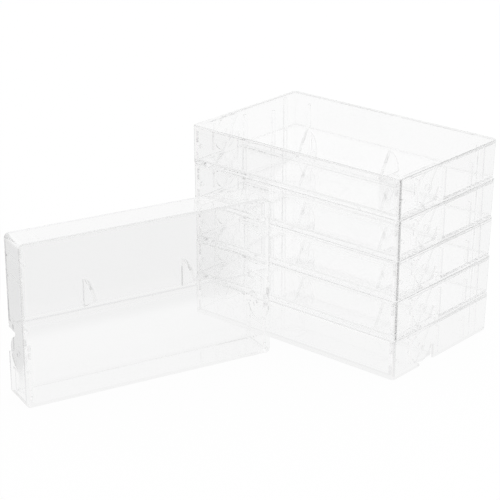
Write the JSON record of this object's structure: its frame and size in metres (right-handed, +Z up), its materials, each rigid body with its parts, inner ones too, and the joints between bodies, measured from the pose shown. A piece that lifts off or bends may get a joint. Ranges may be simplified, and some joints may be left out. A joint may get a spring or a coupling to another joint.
{
  "type": "hinged storage case set",
  "caption": "Set of clear flat two-part hinged storage cases for small tape cartridges, most lying in a stack and one standing on its spine beside it.",
  "frame": {"origin": "middle of the whole set's footprint, on the surface it stands on", "axes": "+Z up, +X along the length of the stacked cases, +Y from the standing case towards the stack"},
  "size_m": [0.1094, 0.1826, 0.086],
  "materials": {
    "clear_cover": "clear moulded polystyrene, polished",
    "clear_tray": "clear moulded polystyrene, polished, with faint flow marks"
  },
  "bodies": {
    "case_1_tray": {"case_1_tray": "clear_tray"},
    "case_1_cover": {"case_1_cover": "clear_cover"},
    "case_2_tray": {"case_2_tray": "clear_tray"},
    "case_2_cover": {"case_2_cover": "clear_cover"},
    "case_3_tray": {"case_3_tray": "clear_tray"},
    "case_3_cover": {"case_3_cover": "clear_cover"},
    "case_4_tray": {"case_4_tray": "clear_tray"},
    "case_4_cover": {"case_4_cover": "clear_cover"},
    "case_5_tray": {"case_5_tray": "clear_tray"},
    "case_5_cover": {"case_5_cover": "clear_cover"},
    "case_6_tray": {"case_6_tray": "clear_tray"},
    "case_6_cover": {"case_6_cover": "clear_cover"}
  },
  "joints": [
    {"name": "case_1_lift", "type": "slide", "parent": "case_6_tray", "child": "case_1_tray", "axis": [0, 0, 1], "range_m": [0, 0.036]},
    {"name": "case_2_lift", "type": "slide", "parent": "case_1_tray", "child": "case_2_tray", "axis": [0, 0, 1], "range_m": [0, 0.0785]},
    {"name": "case_3_lift", "type": "slide", "parent": "case_2_tray", "child": "case_3_tray", "axis": [0, 0, 1], "range_m": [0, 0.0785]},
    {"name": "case_4_lift", "type": "slide", "parent": "case_3_tray", "child": "case_4_tray", "axis": [0, 0, 1], "range_m": [0, 0.0785]},
    {"name": "case_5_lift", "type": "slide", "parent": "case_4_tray", "child": "case_5_tray", "axis": [0, 0, 1], "range_m": [0, 0.0785]},
    {"name": "case_1_hinge", "type": "hinge", "parent": "case_1_tray", "child": "case_1_cover", "pos_m": [-0.00005, 0.04215, 0.0085], "axis": [1, 0, 0], "range_deg": [0, 90]},
    {"name": "case_2_hinge", "type": "hinge", "parent": "case_2_tray", "child": "case_2_cover", "pos_m": [0.00005, 0.04235, 0.02575], "axis": [1, 0, 0], "range_deg": [0, 90]},
    {"name": "case_3_hinge", "type": "hinge", "parent": "case_3_tray", "child": "case_3_cover", "pos_m": [-0.00015, 0.04275, 0.043], "axis": [1, 0, 0], "range_deg": [0, 90]},
    {"name": "case_4_hinge", "type": "hinge", "parent": "case_4_tray", "child": "case_4_cover", "pos_m": [0.00005, 0.04265, 0.06025], "axis": [1, 0, 0], "range_deg": [0, 90]},
    {"name": "case_5_hinge", "type": "hinge", "parent": "case_5_tray", "child": "case_5_cover", "pos_m": [0.00015, 0.04225, 0.0775], "axis": [1, 0, 0], "range_deg": [0, 90]},
    {"name": "case_6_hinge", "type": "hinge", "parent": "case_6_tray", "child": "case_6_cover", "pos_m": [-0.028, -0.03725, 0.02], "axis": [0.3437, 0.9391, 0], "range_deg": [0, 90]}
  ],
  "couplings": [
    {"joint": "case_2_lift", "follows": "case_1_lift", "ratio": 2.1739},
    {"joint": "case_3_lift", "follows": "case_1_lift", "ratio": 2.1739},
    {"joint": "case_4_lift", "follows": "case_1_lift", "ratio": 2.1739},
    {"joint": "case_5_lift", "follows": "case_1_lift", "ratio": 2.1739},
    {"joint": "case_1_hinge", "follows": "case_1_lift", "rad_per_m": 43.468},
    {"joint": "case_2_hinge", "follows": "case_1_lift", "rad_per_m": 43.468},
    {"joint": "case_3_hinge", "follows": "case_1_lift", "rad_per_m": 43.468},
    {"joint": "case_4_hinge", "follows": "case_1_lift", "rad_per_m": 43.468},
    {"joint": "case_5_hinge", "follows": "case_1_lift", "rad_per_m": 43.468}
  ]
}
